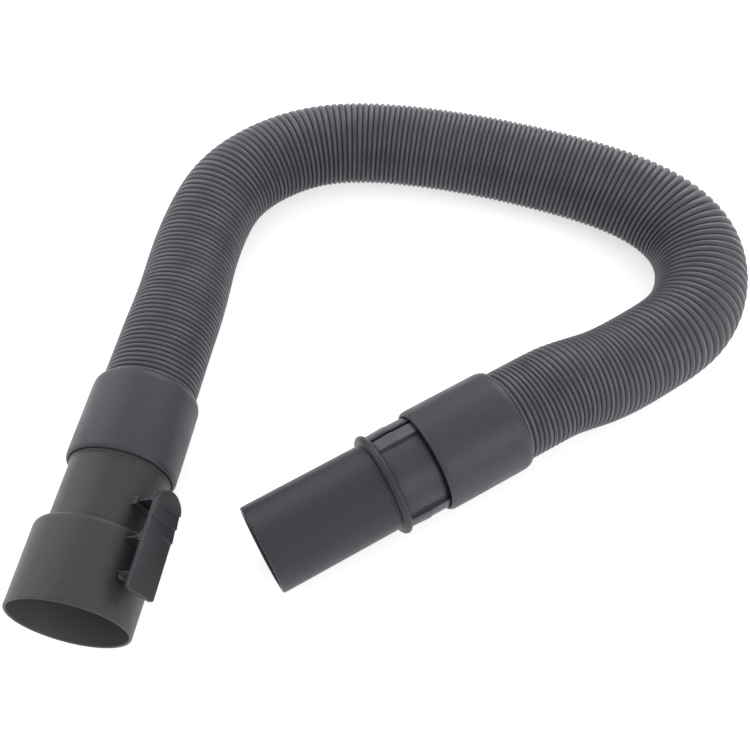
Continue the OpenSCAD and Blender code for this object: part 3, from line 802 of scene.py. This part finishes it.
def studio_world(scene, ambient):
    """Even light from all sides, seen as white."""
    world = bpy.data.worlds.new("studio")
    scene.world = world
    world.use_nodes = True
    tree = world.node_tree
    tree.nodes.clear()
    path = tree.nodes.new("ShaderNodeLightPath")
    camera_or_glossy = tree.nodes.new("ShaderNodeMath")
    camera_or_glossy.operation = "MAXIMUM"
    seen = tree.nodes.new("ShaderNodeMath")
    seen.operation = "MAXIMUM"
    mix = tree.nodes.new("ShaderNodeMixShader")
    around = tree.nodes.new("ShaderNodeBackground")
    around.inputs["Color"].default_value = (0.97, 0.98, 1.0, 1)
    around.inputs["Strength"].default_value = ambient
    white = tree.nodes.new("ShaderNodeBackground")
    white.inputs["Color"].default_value = (1, 1, 1, 1)
    white.inputs["Strength"].default_value = 1.0
    out = tree.nodes.new("ShaderNodeOutputWorld")
    link = tree.links.new
    link(path.outputs["Is Camera Ray"], camera_or_glossy.inputs[0])
    link(path.outputs["Is Glossy Ray"], camera_or_glossy.inputs[1])
    link(camera_or_glossy.outputs[0], seen.inputs[0])
    link(path.outputs["Is Transmission Ray"], seen.inputs[1])
    link(seen.outputs[0], mix.inputs[0])
    link(around.outputs[0], mix.inputs[1])
    link(white.outputs[0], mix.inputs[2])
    link(mix.outputs[0], out.inputs["Surface"])


def studio_camera(scene):
    """The camera, turned about the upright axis, then tilted down, then rolled."""
    lens = bpy.data.cameras.new("camera")
    lens.sensor_width = 36
    lens.lens = lens.sensor_width * FOCAL_SHARE
    lens.clip_start, lens.clip_end = 0.01, 20
    camera = bpy.data.objects.new("camera", lens)
    scene.collection.objects.link(camera)
    ahead = Vector((0, math.cos(CAMERA_DOWN), -math.sin(CAMERA_DOWN)))
    right = Vector((1, 0, 0))
    up = right.cross(ahead)
    rolled_right = right * math.cos(CAMERA_ROLL) + up * math.sin(CAMERA_ROLL)
    rolled_up = up * math.cos(CAMERA_ROLL) - right * math.sin(CAMERA_ROLL)
    turn = Matrix.Rotation(CAMERA_TURN, 3, "Z")
    columns = [turn @ v for v in (rolled_right, rolled_up, -ahead)]
    camera.matrix_world = Matrix.Translation(CAMERA_AT) @ Matrix(columns).transposed().to_4x4()
    scene.camera = camera


class HOSE_OT_stage(bpy.types.Operator):
    """Sets the pale floor, the soft lights, the world and the camera"""

    bl_idname = "vacuum_hose.stage"
    bl_label = "Stage"

    def execute(self, context):
        scene = context.scene
        settings = scene.hose_stage
        bpy.ops.object.select_all(action="DESELECT")
        bpy.ops.mesh.primitive_plane_add(size=FLOOR_SIZE, location=FLOOR_MIDDLE)
        floor = context.object
        floor.name = "studio_floor"
        bpy.ops.object.transform_apply(location=True, rotation=True, scale=True)
        floor.data.materials.append(pale_floor(settings.floor))

        soft_light("key_light", KEY_LIGHT, settings.key)
        soft_light("front_light", FRONT_LIGHT, settings.fill)
        soft_light("back_light", BACK_LIGHT, settings.back)

        studio_world(scene, settings.ambient)
        studio_camera(scene)
        scene.view_settings.view_transform = "Standard"
        return {"FINISHED"}


class HOSE_PT_panel(bpy.types.Panel):
    """Settings and pieces of the vacuum hose"""

    bl_label = "Vacuum Hose"
    bl_idname = "HOSE_PT_panel"
    bl_space_type = "VIEW_3D"
    bl_region_type = "UI"
    bl_category = "Hose"

    def draw(self, context):
        layout = self.layout
        scene = context.scene
        for group in (scene.hose_form, scene.hose_fittings, scene.hose_stage):
            box = layout.box()
            for name in group.bl_rna.properties.keys():
                if name not in ("rna_type", "name"):
                    box.prop(group, name)
        for operator in OPERATORS:
            layout.operator(operator.bl_idname)


GROUPS = (
    ("hose_form", HoseSettings), ("hose_fittings", FittingSettings), ("hose_stage", StageSettings),
)
OPERATORS = (
    HOSE_OT_stretch_hose, HOSE_OT_cuffs, HOSE_OT_tubes, HOSE_OT_latch, HOSE_OT_inner_parts,
    HOSE_OT_stage,
)


def register():
    for name, group in GROUPS:
        bpy.utils.register_class(group)
        setattr(bpy.types.Scene, name, PointerProperty(type=group))
    for operator in OPERATORS:
        bpy.utils.register_class(operator)
    bpy.utils.register_class(HOSE_PT_panel)


def unregister():
    bpy.utils.unregister_class(HOSE_PT_panel)
    for operator in reversed(OPERATORS):
        bpy.utils.unregister_class(operator)
    for name, group in reversed(GROUPS):
        delattr(bpy.types.Scene, name)
        bpy.utils.unregister_class(group)


def main():
    register()
    bpy.ops.vacuum_hose.stretch_hose()
    bpy.ops.vacuum_hose.cuffs()
    bpy.ops.vacuum_hose.tubes()
    bpy.ops.vacuum_hose.latch()
    bpy.ops.vacuum_hose.inner_parts()
    bpy.ops.vacuum_hose.stage()


if __name__ == "__main__":
    main()
